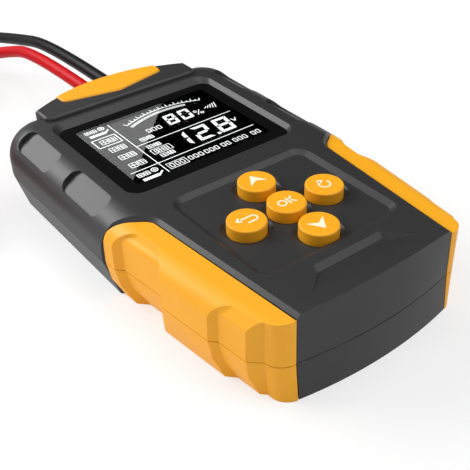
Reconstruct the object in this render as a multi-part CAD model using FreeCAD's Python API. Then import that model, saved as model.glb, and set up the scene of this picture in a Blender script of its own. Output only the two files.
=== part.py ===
import FreeCAD, Part
import math
import os

# Hand-held car battery tester with two clamp leads.
# Millimetres, +Z up. The origin is the middle of the base of the case,
# X runs to the tester's right and Y towards the end where the leads come out.

# Case
front_length = 42.8        # from the front end to the middle of the keypad
middle_length = 60.6       # from there to the middle of the display
part_z = 12.8              # height of the parting line
top_z = 28.9               # height of the top face
wall = 2.3
ceiling = 3.4              # top face down to the inside of the roof
parting_gap = 0.25
rear_corner_r = 14.0
shoulder_r = 11.0
head_draft = 3.5           # the lower shell draws in by this much at the base
nose_reach = 4.3           # the lead end stands this far behind the head
fit_gap = 0.25             # between fixed pieces that are dropped into a seat

# Keypad end: the dark core between the grips
core_front_half = 29.0
core_taper = 0.089         # sideways growth for each millimetre towards the leads
core_edge = 1.2            # chamfer beside the grips
core_lap = 10.0            # the core runs on this far behind the grips
end_lean_lower = 1.2       # the end face leans back from the base to the parting line
end_lean_upper = 2.3       # and from there to the top
end_bulge_base = 2.7
end_bulge_part = 2.9
end_bulge_top = 1.3

# Side grips
grip_stand = 1.0           # the grips at mid length stand out from the head by this much
grip_t = 6.9
grip_gap = 0.4             # between the grips and the shells
grip_taper = 0.115
grip_rear_taper = 0.066    # behind the middle pad
grip_draft = 2.7
grip_rear_draft = 3.7
grip_draft_share = 0.25    # of the draft, taken up half-way down the lower half
grip_slope_deg = 2.0
grip_shoulder_r = 7.0
grip_length = 75.6         # from the front end
grip_rear_lean = 0.17      # the rear end leans forward by this much for each millimetre up
grip_crest = 12.5          # its top edge meets the core this far from the rear end
grip_crest_slope = 0.74    # and from there runs back by this much for each millimetre outwards
grip_crest_r = 7.0
grip_lip = 5.0             # the front corner stands in from the middle pad
grip_lip_draft = 1.3
grip_corner = 12.1         # length of the front corner
grip_front_run = 2.7
grip_step_slope = 0.94     # the front pad ends in a face that runs back by this much for each millimetre out
grip_nose_bulge = 1.7      # roundness of the front corner
ledge_drop = 6.9           # from the top face down to the ledge that the grips sit on
ledge_draft = 2.5
finger_corner_r = 6.0
finger_flare = 1.2         # widening of a hold for each millimetre outwards
finger_rim_slope = 0.7     # and of its rim for each millimetre upwards
finger_reach_in = 6.0
finger_reach_out = 6.0
finger_pad_r = 3.0         # roundness of the pad in a hold
finger_pad_share = 0.7     # of that rounding, which lies above the foot of the rim
rear_finger_start = 10.6   # from the rear end of the grip
rear_finger_length = 17.4
rear_finger_depth = 2.9
rear_finger_drop = 1.6     # the pad lies under the top of the grip by this much
rear_finger_rim = 3.45     # the rim lies inside the pad's side by this much
rear_finger_draft = 4.2
front_finger_length = 10.9
front_finger_depth = 1.8
front_finger_drop = 1.7
front_finger_rim = 2.8
front_finger_draft = 3.1

# Lead end: hump and bumper
hump_rise = 1.5
hump_half = 32.0
hump_length = 17.2
hump_corner_r = 3.0
hump_edge_r = 1.2
nose_r = 66.0
bumper_half = 21.2
bumper_rise = 0.4          # above the hump
bumper_edge_r = 1.0
bumper_length = 13.7
bumper_side_length = 9.2
bumper_depth = 11.0
bumper_corner_r = 2.6
bumper_wall = 1.3          # between the bumper and the inside of the case

# Shoulder scoops beside the display
scoop_length = 22.6
scoop_start = 2.9          # behind the grips
scoop_pitch = 32.0
scoop_width = 8.6
scoop_tilt_deg = 31.0
scoop_depth = 1.5
scoop_corner_r = 3.0

# Display
window_border_x = 5.06     # dark border round the visible field of the LCD
window_border_front = 5.55
window_border_rear = 4.45
window_corner_r = 4.0
window_frame_w = 1.15      # the frame under the window reaches out by this much
window_rim = 1.4           # width of the sloping rim at the sides and front of the window
window_rear_rim = 3.3
window_sink = 1.5
window_t = 1.5
gasket_t = 0.4
gasket_w = 2.6
view_half_x = 26.74
view_half_y = 20.65
lcd_margin = 1.5
lcd_t = 2.6
lcd_air = 0.4              # under the window
backlight_t = 2.4
holder_wall = 1.6
holder_lip = 1.0           # under the edges of the LCD
holder_floor = 1.2
strip_w = 2.4              # rubber strip that joins the LCD to the board

# Keypad
key_d = 12.0
key_space_x = 3.0
key_space_y = 2.2
key_rise = 1.9             # above the top face
key_gap = 0.3
key_edge_r = 0.5
key_travel = 0.8
flange_rim = 0.75
flange_t = 1.0
stem_d = 5.0
pad_side = 5.5             # from the keys to the edges of the sunk field
pad_front = 1.8
pad_back = 4.2
pad_sink = 1.2
pad_bevel = 2.0
pad_corner_r = 5.0
well_rim = 1.8
well_sink = 0.6
well_bevel = 0.8

# Sloping nail recess in front of the keypad
ramp_back_half = 12.4
ramp_front_half = 20.2
ramp_length = 8.2
ramp_edge = 9.0            # from the end of the case
ramp_sink = 1.5
ramp_bevel = 1.8           # run of its sloping back wall

# Board and what it carries
board_t = 1.6
board_top_z = 16.0
board_gap = 1.0            # from the board to the case and its towers
screw_gap = 0.26           # from the board screws to the LCD holder
terminal_gap = 1.35        # from the LCD holder to the lead terminals
board_margin = 0.5         # from what the board carries to its edge
board_screw_head_d = 4.2
board_screw_head_h = 1.5
board_screw_d = 2.4
board_screw_reach = 8.0
board_boss_wall = 1.25
switch_side = 6.0
switch_h = 3.5
plunger_d = 3.4
plunger_h = 2.0            # stands above the switch
plunger_sunk = 1.5         # and reaches this far into it
plunger_gap = 0.2
terminal_wall = 0.6
terminal_h = 3.0
terminal_floor = 1.0
chip_side = 14.0
chip_h = 1.6
chip_shift = -3.8          # from the middle of the display
resistor_count = 3
resistor_size = (22.0, 7.0, 7.0)
resistor_shift = 10.2
resistor_pitch = 9.0
capacitor_d = 8.0
capacitor_h = 10.0
capacitor_x = 22.0
capacitor_shift = 0.2
beeper_d = 12.0
beeper_h = 5.5
beeper_shift = 22.8        # from the middle of the keypad
transistor_size = (10.0, 15.0, 4.5)
transistor_x = 17.0
transistor_shift = -23.8

# Case screws
screw_d = 2.9
screw_head_d = 5.4
screw_head_h = 2.0
screw_play = 0.15
screw_reach = 8.0          # past the parting line
tower_wall = 0.85
tower_inset = 0.5          # from the drawn-in foot of the wall
tower_front_inset = 1.0

# Leads
lead_d = 5.0
lead_pitch = 9.0
lead_height = 5.6          # above the underside of the bumper
lead_gap = 0.2
lead_bend_r = 4.6          # inside the case
lead_split = 1.6           # the free lead begins this far inside the bumper
bend_share = 0.45          # of the shorter run, spent on a bend between two runs
heading_step = 0.0125      # part of a turn over which a winding's heading is taken
gap_points = 6             # measuring points on each arc of a winding
coil_room = 0.6            # between neighbouring turns
coil_turns_in = 1.5
coil_turns_climb = 0.5
coil_turns_out = 1.25
floor_gap = 0.05
tie_t = 0.8
tie_w = 5.0
tie_gap = 0.35
tie_turn = 0.42            # place of the tie along the first turn
tie_corner_r = 2.4

# Clamps, lying on their sides
clamp_length = 76.0
clamp_spread = 26.0
arm_t = 2.2
handle_flat = 14.0
belly_u = 58.0             # widest place of the jaws
belly_v = 5.9
jaw_tip_w = 9.0
pivot_u = 40.0
pivot_d = 3.8
pivot_head_d = 5.4
pivot_head_t = 0.7
pivot_play = 0.06
ear_r = 3.8
ear_t = 1.4
ear_gap = 0.35
ear_room = 0.7
ear_edge = 1.0             # from the side of the clamp to its outer ears
spring_wire = 1.2
spring_gap = 0.3           # from the pin
spring_turns = 3.5
spring_room = 0.3          # from the ears at both ends
spring_leg = 8.0
contact_t = 1.0
contact_w = 6.0
contact_back_u = 50.0
contact_gap = 0.3
tooth_h = 1.2
tooth_pitch = 3.0
tooth_count = 6
crimp_u = 4.0
crimp_length = 6.0
crimp_wall = 0.8
crimp_gap = 0.1

V = FreeCAD.Vector
tower_d = screw_head_d + 2 * screw_play + 2 * tower_wall
board_boss_d = board_screw_d + 2 * screw_play + 2 * board_boss_wall
terminal_d = lead_d + 2 * lead_gap + 2 * terminal_wall
lcd_half_x = view_half_x + lcd_margin
lcd_half_y = view_half_y + lcd_margin
holder_half_x = lcd_half_x + holder_wall
holder_half_y = lcd_half_y + holder_wall
board_head_half = holder_half_x + screw_gap + board_screw_head_d + board_margin
tower_x = board_head_half + board_gap + tower_d / 2
head_half = tower_x + tower_d / 2 + tower_inset + head_draft
head_width = 2 * head_half
lead_setback = bumper_length + bumper_wall + lead_bend_r - lead_gap
rear_length = holder_half_y + terminal_gap + terminal_d / 2 + lead_setback
case_length = front_length + middle_length + rear_length
rear_y = case_length / 2
front_y = -case_length / 2
key_y = front_y + front_length
view_y = key_y + middle_length
lead_drop_y = rear_y - lead_setback
head_rear_y = rear_y - nose_reach
upper_z = part_z + parting_gap / 2
lower_z = part_z - parting_gap / 2
roof_z = top_z - ceiling
hump_z = top_z + hump_rise
far = 3 * case_length
hair = 0.01                # tolerance for picking out edges by their place

grip_rear_y = front_y + grip_length
grip_crest_y = grip_rear_y - grip_crest
core_back_y = grip_rear_y + core_lap
grip_reach = head_half + grip_stand
grip_top_z = top_z - core_edge
grip_front_y = front_y + grip_corner
rear_finger_y1 = grip_rear_y - rear_finger_start
rear_finger_y0 = rear_finger_y1 - rear_finger_length
rear_finger_y = (rear_finger_y0 + rear_finger_y1) / 2
front_finger_y1 = grip_front_y + front_finger_length
ledge_reach = grip_reach - grip_t
hump_front_y = rear_y - hump_length
bumper_side_y = rear_y - bumper_side_length
bumper_tip_y = rear_y - bumper_length
bumper_z = hump_z - bumper_depth
lead_x = [-lead_pitch / 2, lead_pitch / 2]
lead_z = bumper_z + lead_height
lead_split_y = rear_y - lead_split
coil_step = lead_d + coil_room
window_half_x = view_half_x + window_border_x
window_y0 = view_y - view_half_y - window_border_front
window_y1 = view_y + view_half_y + window_border_rear
key_pitch_x = key_d + key_space_x
key_pitch_y = key_d + key_space_y
flange_d = key_d + 2 * flange_rim
well_d = key_d + 2 * well_rim
pad_half_x = key_pitch_x + key_d / 2 + pad_side
pad_y0 = key_y - key_pitch_y - key_d / 2 - pad_front
pad_y1 = key_y + key_pitch_y + key_d / 2 + pad_back
ramp_front_y = front_y + ramp_edge
ramp_back_y = ramp_front_y + ramp_length


# Plain shapes

def box(x0, x1, y0, y1, z0, z1):
    return Part.makeBox(x1 - x0, y1 - y0, z1 - z0, V(x0, y0, z0))


def post(x, y, z0, z1, d):
    return Part.makeCylinder(d / 2, z1 - z0, V(x, y, z0))


def prism(wire, run):
    return Part.Face(wire).extrude(run)


def ruled(wires):
    return Part.makeLoft(wires, True, True)


def polygon(points):
    return Part.makePolygon(points + points[:1])


def rounded(points, radius):
    """Closed outline of straight sides with every corner rounded to its radius (0 keeps it sharp)."""
    edges = []
    joints = []
    for i, corner in enumerate(points):
        r = radius[i]
        before = (points[i - 1] - corner).normalize()
        after = (points[(i + 1) % len(points)] - corner).normalize()
        if r == 0:
            joints.append((corner, None, corner))
            continue
        half = before.getAngle(after) / 2
        reach = r / math.tan(half)
        middle = (before + after).normalize()
        tip = corner + middle * (r / math.sin(half) - r)
        joints.append((corner + before * reach, tip, corner + after * reach))
    for i, (start, tip, end) in enumerate(joints):
        if tip:
            edges.append(Part.Arc(start, tip, end).toShape())
        edges.append(Part.makeLine(end, joints[(i + 1) % len(joints)][0]))
    return Part.Wire(edges)


def rounded_rect(x0, x1, y0, y1, z, r):
    return rounded([V(x0, y0, z), V(x1, y0, z), V(x1, y1, z), V(x0, y1, z)], [r, r, r, r])


def mirrored(shape):
    return shape.mirror(V(0, 0, 0), V(1, 0, 0))


def both(shape):
    return [shape, mirrored(shape)]


def fuse(shapes):
    return shapes[0].fuse(shapes[1:]).removeSplitter()


def above(z):
    return box(-far, far, -far, far, z, far)


def below(z):
    return box(-far, far, -far, far, -far, z)


nodes = {}


# Case outline

def head_outline(z, inset, y0):
    """Plan of the head: straight sides and two rounded rear corners."""
    half = head_half - inset
    end = head_rear_y - inset
    r = rear_corner_r - inset
    return rounded([V(-half, y0, z), V(half, y0, z), V(half, end, z), V(-half, end, z)], [0, 0, r, r])


def top_edges(solid, z, y_min):
    """Edges of the flat top at height z, apart from what lies in front of y_min."""
    return [e for e in solid.Edges
            if e.BoundBox.ZMin > z - hair and e.BoundBox.YMax > y_min + hair]


def core_half(y):
    return core_front_half + core_taper * (y - core_corner_y)


core_corner_y = front_y + end_lean_lower + end_lean_upper + end_bulge_top
end_levels = [
    (0.0, front_y, end_bulge_base),
    (part_z, front_y + end_lean_lower, end_bulge_part),
    (top_z, front_y + end_lean_lower + end_lean_upper, end_bulge_top),
]


def core_outline(level, spare):
    """Plan of the dark core at one level: tapered sides and a bulging end face."""
    z, middle_y, bulge = level
    corner_y = middle_y + bulge
    front = core_half(corner_y) + spare
    back = core_half(core_back_y) + spare
    return Part.Wire([
        Part.Arc(V(-front, corner_y, z), V(0, middle_y, z), V(front, corner_y, z)).toShape(),
        Part.makeLine(V(front, corner_y, z), V(back, core_back_y, z)),
        Part.makeLine(V(back, core_back_y, z), V(-back, core_back_y, z)),
        Part.makeLine(V(-back, core_back_y, z), V(-front, corner_y, z)),
    ])


core_lower = ruled([core_outline(end_levels[0], 0), core_outline(end_levels[1], 0)])
core_upper = ruled([core_outline(end_levels[1], 0), core_outline(end_levels[2], 0)])
core_clear = fuse([
    ruled([core_outline(end_levels[0], grip_gap), core_outline(end_levels[1], grip_gap)]),
    ruled([core_outline(end_levels[1], grip_gap), core_outline(end_levels[2], grip_gap)]),
    prism(core_outline(end_levels[2], grip_gap), V(0, 0, far)),
])


def ledge_outline(z, reach):
    """Plan of the shell under the grips, inside their outer faces."""
    front = reach + grip_taper * grip_front_y - grip_lip / 2
    corner_y = core_corner_y + wall
    return polygon([
        V(-reach - grip_taper * core_back_y, core_back_y, z),
        V(-front, grip_front_y, z),
        V(-core_front_half, corner_y, z),
        V(core_front_half, corner_y, z),
        V(front, grip_front_y, z),
        V(reach + grip_taper * core_back_y, core_back_y, z),
    ])


ledge_z = top_z - ledge_drop
ledge_lower = ruled([ledge_outline(0, ledge_reach - ledge_draft), ledge_outline(part_z, ledge_reach)])
ledge_upper = prism(ledge_outline(part_z, ledge_reach), V(0, 0, ledge_z - part_z))


def grip_zone(gap):
    """Room of the right grip: beside the core, in front of a leaning rear end with a rounded inner corner."""
    end_y = grip_rear_y - gap
    side = polygon([
        V(0, end_y, 0),
        V(0, end_y - grip_rear_lean * far, far),
        V(0, -far, far),
        V(0, -far, 0),
    ])
    crest_y = grip_crest_y - gap
    crest_x = core_half(crest_y)
    start_y = front_y - head_half
    plan = rounded([
        V(core_half(start_y), start_y, 0),
        V(head_width, start_y, 0),
        V(head_width, crest_y + grip_crest_slope * (head_width - crest_x), 0),
        V(crest_x, crest_y, 0),
    ], [0, 0, 0, grip_crest_r])
    return prism(plan, V(0, 0, far)).common(prism(side, V(far, 0, 0)))


seats = both(grip_zone(0))
head_front_y = grip_crest_y - grip_crest_r
head_lower = ruled([head_outline(0, head_draft, head_front_y), head_outline(part_z, 0, head_front_y)])
head_upper = prism(head_outline(part_z, 0, head_front_y), V(0, 0, top_z - part_z))
head_upper = head_upper.makeFillet(shoulder_r, top_edges(head_upper, top_z, head_front_y))


def nose_outline(z, half, front):
    """Plan of the hump: straight front and sides, and an end that bulges towards the leads."""
    side_y = rear_y - nose_r + math.sqrt(nose_r ** 2 - half ** 2)
    return Part.Wire([
        Part.makeLine(V(-half, front, z), V(half, front, z)),
        Part.makeLine(V(half, front, z), V(half, side_y, z)),
        Part.Arc(V(half, side_y, z), V(0, rear_y, z), V(-half, side_y, z)).toShape(),
        Part.makeLine(V(-half, side_y, z), V(-half, front, z)),
    ])


nose = prism(nose_outline(part_z, hump_half, hump_front_y), V(0, 0, hump_z - part_z))
nose_corners = [e for e in nose.Edges if e.BoundBox.ZLength > hump_rise and abs(e.BoundBox.YMax - hump_front_y) < hair]
nose = nose.makeFillet(hump_corner_r, nose_corners)
nose = nose.makeFillet(hump_edge_r, top_edges(nose, hump_z, -far))


def bumper_outline(z, spare):
    """Plan of the bumper: a shallow V in front, and the hump's own end behind."""
    half = bumper_half + spare
    side_y = rear_y - nose_r + math.sqrt(nose_r ** 2 - half ** 2)
    return Part.Wire([
        Part.makeLine(V(-half, side_y, z), V(-half, bumper_side_y - spare, z)),
        Part.makeLine(V(-half, bumper_side_y - spare, z), V(0, bumper_tip_y - spare, z)),
        Part.makeLine(V(0, bumper_tip_y - spare, z), V(half, bumper_side_y - spare, z)),
        Part.makeLine(V(half, bumper_side_y - spare, z), V(half, side_y, z)),
        Part.Arc(V(half, side_y, z), V(0, rear_y, z), V(-half, side_y, z)).toShape(),
    ])


def bumper_body(z0, z1, spare):
    """The bumper as a block, with the ends of its V rounded."""
    block = prism(bumper_outline(z0, spare), V(0, 0, z1 - z0))
    ends = [e for e in block.Edges
            if e.BoundBox.ZLength > bumper_depth / 2 and abs(e.BoundBox.YMax - bumper_side_y + spare) < hair]
    return block.makeFillet(bumper_corner_r + spare, ends)


bumper_top_z = hump_z + bumper_rise
bumper = bumper_body(bumper_z, bumper_top_z, 0)
bumper = bumper.makeFillet(bumper_edge_r, top_edges(bumper, bumper_top_z, -far))
bumper_seat = fuse([
    bumper_body(bumper_z - fit_gap, far, fit_gap),
    box(-bumper_half, bumper_half, bumper_side_y + bumper_corner_r, far, bumper_z - fit_gap, far),
])


def lead_holes(d, y0):
    return [Part.makeCylinder(d / 2, far, V(x, y0, lead_z), V(0, 1, 0)) for x in lead_x]


nodes["end_bumper"] = bumper.cut(lead_holes(lead_d + 2 * lead_gap, 0))


# Hollow of the case

def cavity(z0, z1, low, high):
    """Room inside the shells from z0 to z1. low and high are the draft at the two ends."""
    head = ruled([
        head_outline(z0, wall + low, grip_rear_y + wall),
        head_outline(z1, wall + high, grip_rear_y + wall),
    ])
    front = front_y + end_lean_lower + end_lean_upper + wall
    core = prism(polygon([
        V(-core_half(front) + wall, front, z0),
        V(core_half(front) - wall, front, z0),
        V(core_half(core_back_y) - wall, core_back_y, z0),
        V(-core_half(core_back_y) + wall, core_back_y, z0),
    ]), V(0, 0, z1 - z0))
    return head, core


head_room, core_room = cavity(part_z, roof_z, 0, 0)
head_room = head_room.makeFillet(shoulder_r - wall, top_edges(head_room, roof_z, grip_rear_y + wall))
side_room = prism(ledge_outline(part_z, ledge_reach - wall), V(0, 0, ledge_z - wall - part_z))
side_room = side_room.common(box(-far, far, grip_front_y, core_back_y, 0, far))
bumper_block = box(-bumper_half - wall, bumper_half + wall, bumper_tip_y - bumper_wall, far,
                   bumper_z - wall, far)
upper_room = fuse([head_room.cut(bumper_block), core_room, side_room])
lower_head_room, lower_core_room = cavity(wall, part_z, head_draft, 0)
lower_side_room = ruled([ledge_outline(wall, ledge_reach - ledge_draft - wall),
                         ledge_outline(part_z, ledge_reach - wall)])
lower_side_room = lower_side_room.common(box(-far, far, grip_front_y, core_back_y, 0, far))
lower_room = fuse([lower_head_room, lower_core_room, lower_side_room])


# Upper shell

def window_outline(z, spare, rear):
    return rounded_rect(-window_half_x - spare, window_half_x + spare, window_y0 - spare,
                        window_y1 + rear, z, window_corner_r + spare)


window_floor_z = top_z - window_sink
ledge_under_window = window_floor_z - window_t - gasket_t
opening = box(-lcd_half_x - fit_gap, lcd_half_x + fit_gap,
              view_y - lcd_half_y - fit_gap, view_y + lcd_half_y + fit_gap, 0, far)
window_seat = fuse([
    ruled([window_outline(window_floor_z, 0, 0), window_outline(top_z, window_rim, window_rear_rim)]),
    prism(window_outline(ledge_under_window, 0, 0), V(0, 0, window_floor_z - ledge_under_window)),
])
window_frame = prism(window_outline(ledge_under_window - wall, window_frame_w, window_frame_w), V(0, 0, wall))

key_places = {
    "up": (0, key_y + key_pitch_y),
    "down": (0, key_y - key_pitch_y),
    "left": (-key_pitch_x, key_y),
    "right": (key_pitch_x, key_y),
    "ok": (0, key_y),
}
pad_floor_z = top_z - pad_sink


def pad_outline(z, spare):
    return rounded_rect(-pad_half_x - spare, pad_half_x + spare, pad_y0 - spare,
                        pad_y1 + spare, z, pad_corner_r + spare)


keypad_cuts = [ruled([pad_outline(pad_floor_z, -pad_bevel), pad_outline(top_z, 0)])]
for x, y in key_places.values():
    keypad_cuts.append(post(x, y, 0, top_z, key_d + 2 * key_gap))
    keypad_cuts.append(Part.makeCone(well_d / 2 - well_bevel, well_d / 2, well_sink,
                                     V(x, y, pad_floor_z - well_sink)))

ramp_deep = [V(-ramp_back_half, ramp_back_y - ramp_bevel, top_z - ramp_sink),
             V(ramp_back_half, ramp_back_y - ramp_bevel, top_z - ramp_sink)]
ramp_rim = [V(ramp_front_half, ramp_front_y, top_z), V(-ramp_front_half, ramp_front_y, top_z)]
ramp_back = [V(-ramp_back_half, ramp_back_y, top_z), V(ramp_back_half, ramp_back_y, top_z)]
ramp = Part.Solid(Part.Shell([
    Part.Face(polygon([ramp_deep[0], ramp_deep[1], ramp_rim[0], ramp_rim[1]])),
    Part.Face(polygon([ramp_back[0], ramp_back[1], ramp_rim[0], ramp_rim[1]])),
    Part.Face(polygon([ramp_deep[0], ramp_deep[1], ramp_back[1], ramp_back[0]])),
    Part.Face(polygon([ramp_deep[0], ramp_back[0], ramp_rim[1]])),
    Part.Face(polygon([ramp_deep[1], ramp_back[1], ramp_rim[0]])),
]))

tilt = math.radians(scoop_tilt_deg)
shoulder_x = head_half - shoulder_r
shoulder_z = top_z - shoulder_r
scoop_out = V(math.sin(tilt), 0, math.cos(tilt))
scoop_down = V(math.cos(tilt), 0, -math.sin(tilt))
scoops = []
for i in range(2):
    start = V(shoulder_x, grip_rear_y + scoop_start + i * scoop_pitch, shoulder_z)
    start = start + scoop_out * (shoulder_r - scoop_depth) - scoop_down * (scoop_width / 2)
    across = scoop_down * scoop_width
    along = V(0, scoop_length, 0)
    outline = rounded([start, start + across, start + across + along, start + along],
                      [scoop_corner_r] * 4)
    scoops += both(prism(outline, scoop_out * (2 * shoulder_r)))

tower_front = (core_front_half - wall - tower_d / 2 - tower_front_inset,
               core_corner_y + wall + tower_d / 2)
tower_places = [(tower_x, grip_rear_y + wall + tower_d), (tower_x, bumper_tip_y - tower_d), tower_front]
tower_places += [(-x, y) for x, y in tower_places]
screw_reach_z = part_z + screw_reach

body = fuse([head_upper.cut(seats), core_upper])
seat_edges = [e for e in body.Edges if e.BoundBox.ZMin > top_z - hair and e.BoundBox.XMin * e.BoundBox.XMax > 0
              and e.BoundBox.YMax < grip_rear_y]
body = body.makeChamfer(core_edge, seat_edges)
upper = fuse([body, nose, ledge_upper]).common(above(upper_z)).cut(upper_room)
bosses = [post(x, y, part_z, roof_z, tower_d) for x, y in tower_places]
upper = fuse([upper, window_frame] + bosses)
upper = upper.cut([window_seat, bumper_seat, ramp, opening] + keypad_cuts + scoops)
upper = upper.cut(lead_holes(lead_d + 2 * lead_gap, lead_drop_y - 2 * lead_gap))
nodes["upper_shell"] = upper.cut([
    post(x, y, 0, screw_reach_z + screw_play, screw_d + 2 * screw_play) for x, y in tower_places
])


# Lower shell

board_z = board_top_z - board_t
board_head_y0 = grip_rear_y + wall + board_gap
board_head_y1 = lead_drop_y + terminal_d / 2 + board_margin
board_core_half = core_front_half - wall - board_gap
board_core_y0 = tower_front[1] + tower_d / 2 + board_gap
boss_inset = board_margin + board_screw_head_d / 2
board_bosses = [
    (board_head_half - boss_inset, board_head_y0 + boss_inset),
    (board_head_half - boss_inset, board_head_y1 - boss_inset),
    (board_core_half - boss_inset, board_core_y0 + boss_inset),
]
board_bosses += [(-x, y) for x, y in board_bosses]
lower = fuse([head_lower.cut(seats), core_lower, ledge_lower]).common(below(lower_z))
lower = lower.cut(lower_room)
towers = [post(x, y, 0, part_z, tower_d) for x, y in tower_places]
supports = [post(x, y, 0, board_z, board_boss_d) for x, y in board_bosses]
lower = fuse([lower] + towers + supports)
screw_seat_z = wall + screw_head_h
lower = lower.cut(
    [post(x, y, 0, far, screw_d + 2 * screw_play) for x, y in tower_places]
    + [post(x, y, -wall, screw_seat_z, screw_head_d + 2 * screw_play) for x, y in tower_places]
    + [post(x, y, wall, far, board_screw_d + 2 * screw_play) for x, y in board_bosses]
)
nodes["lower_shell"] = lower

nodes["case_screws"] = Part.makeCompound([
    post(x, y, screw_seat_z - screw_head_h, screw_seat_z, screw_head_d).fuse(
        post(x, y, screw_seat_z, screw_reach_z, screw_d)).removeSplitter()
    for x, y in tower_places
])


# Side grips

def grip_section(inset, drop, draft, r):
    """Cross-section of the right grip at mid length: nearly flat top, rounded shoulder, drafted side."""
    side = grip_reach - inset
    slope = math.tan(math.radians(grip_slope_deg))
    inner = core_front_half
    edge_x = core_half(0)
    edge_z = grip_top_z - drop
    return rounded([
        V(inner, 0, edge_z + (edge_x - inner) * slope),
        V(inner, 0, 0),
        V(side - draft, 0, 0),
        V(side - draft * grip_draft_share, 0, part_z / 2),
        V(side, 0, part_z),
        V(side, 0, edge_z - (side - edge_x) * slope),
    ], [0, 0, 0, 0, 0, r])


def grip_run(wire, y0, y1, taper):
    """The section drawn along the tapered side of the case."""
    face = Part.Face(wire)
    face.translate(V(grip_taper * y0, y0, 0))
    return face.extrude(V(taper * (y1 - y0), y1 - y0, 0))


grip_y0 = front_y - wall
grip_y1 = grip_rear_y + wall


def finger_hold(y0, y1, depth, drop, rim, draft):
    """Shallow hold in the grip, with a rounded pad in it. Its ends flare outwards and its rim upwards."""
    def outline(z, inset, r):
        ends = [(-inset, y0), (finger_reach_out, y0), (finger_reach_out, y1), (-inset, y1)]
        points = []
        for run, y in ends:
            spread = finger_flare * run
            place_y = y - spread if y == y0 else y + spread
            points.append(V(grip_reach - depth + run + grip_taper * place_y, place_y, z))
        return rounded(points, [r, 0, 0, r])

    foot_z = grip_top_z - drop - finger_pad_share * finger_pad_r
    foot_inset = rim - finger_rim_slope * (grip_top_z - foot_z)
    crest_inset = rim + finger_rim_slope * (top_z - grip_top_z)
    low = prism(outline(0, finger_reach_in, 0), V(0, 0, foot_z))
    high = ruled([outline(foot_z, foot_inset, finger_corner_r), outline(top_z, crest_inset, finger_corner_r)])
    section = grip_section(depth, drop, draft, finger_pad_r)
    return fuse([low, high]).cut(grip_run(section, grip_y0, grip_y1, grip_taper))


def front_outline(z, lip, end_y):
    """Plan of all that lies in front of the right grip: its stepped side and rounded corner."""
    side_y = grip_front_y - grip_front_run
    start = V(grip_reach - lip + grip_taper * side_y, side_y, z)
    outside = V(head_width, side_y + grip_step_slope * (head_width - start.x), z)
    end = V(core_half(core_corner_y), end_y, z)
    chord = end - start
    middle = (start + end) / 2 + V(-chord.y, chord.x, 0).normalize() * grip_nose_bulge
    return Part.Wire([
        Part.makeLine(outside, start),
        Part.Arc(start, middle, end).toShape(),
        Part.makeLine(end, V(0, end_y, z)),
        Part.makeLine(V(0, end_y, z), V(0, -far, z)),
        Part.makeLine(V(0, -far, z), V(head_width, -far, z)),
        Part.makeLine(V(head_width, -far, z), outside),
    ])


end_corners = [middle_y + bulge for z, middle_y, bulge in end_levels]
lip_drafts = [grip_lip + grip_lip_draft, grip_lip, grip_lip]
front_wires = [front_outline(level[0], lip, y)
               for level, lip, y in zip(end_levels, lip_drafts, end_corners)]
rear_section = grip_section(0, 0, grip_rear_draft, grip_shoulder_r)
rear_run = grip_run(rear_section, rear_finger_y0, grip_y1, grip_rear_taper)
rear_trim = box(0, head_width, rear_finger_y, grip_y1, 0, top_z).cut(rear_run)
section = grip_section(0, 0, grip_draft, grip_shoulder_r)
grip = grip_run(section, grip_y0, grip_y1, grip_taper).common(grip_zone(grip_gap))
grip = grip.cut([
    rear_trim,
    finger_hold(rear_finger_y0, rear_finger_y1, rear_finger_depth, rear_finger_drop, rear_finger_rim,
                rear_finger_draft),
    finger_hold(front_y - head_half, front_finger_y1, front_finger_depth, front_finger_drop,
                front_finger_rim, front_finger_draft),
    ruled(front_wires[:2]),
    ruled(front_wires[1:]),
    core_clear,
    ledge_upper,
    ledge_lower,
])
for side, shape in zip(("right", "left"), both(grip)):
    nodes[side + "_grip_upper"] = shape.common(above(upper_z))
    nodes[side + "_grip_lower"] = shape.common(below(lower_z))


# Display, from the window down to the board

window_z = ledge_under_window + gasket_t
nodes["display_window"] = prism(window_outline(window_z, -fit_gap, -fit_gap), V(0, 0, window_t))
gasket = prism(window_outline(ledge_under_window, -fit_gap, -fit_gap), V(0, 0, gasket_t))
gasket_hole = prism(window_outline(ledge_under_window, -gasket_w, -gasket_w), V(0, 0, gasket_t))
nodes["window_gasket"] = gasket.cut(gasket_hole)

lcd_top_z = window_z - lcd_air
lcd_z = lcd_top_z - lcd_t


def display_box(spare, z0, z1):
    return box(-lcd_half_x - spare, lcd_half_x + spare,
               view_y - lcd_half_y - spare, view_y + lcd_half_y + spare, z0, z1)


nodes["lcd_panel"] = display_box(0, lcd_z, lcd_top_z)
backlight_z = lcd_z - backlight_t
strip_y1 = view_y + lcd_half_y - holder_lip - fit_gap
strip_y0 = strip_y1 - strip_w
strip_half = view_half_x - strip_w
nodes["lcd_strip"] = box(-strip_half, strip_half, strip_y0, strip_y1, board_top_z, lcd_z)
backlight_cut = box(-far, far, strip_y0 - holder_wall, far, backlight_z, far)
nodes["backlight"] = display_box(-holder_lip - fit_gap, backlight_z, lcd_z).cut(backlight_cut)
holder = display_box(holder_wall, board_top_z, lcd_z)
nodes["lcd_holder"] = holder.cut([
    display_box(-holder_lip, backlight_z, lcd_z).cut(box(-far, far, strip_y0 - holder_wall + fit_gap,
                                                         far, backlight_z, far)),
    display_box(-holder_lip, board_top_z, backlight_z - holder_floor),
    box(-strip_half - fit_gap, strip_half + fit_gap, strip_y0 - fit_gap, strip_y1 + fit_gap,
        board_top_z, lcd_z),
])


# Board, with parts on both sides

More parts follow.
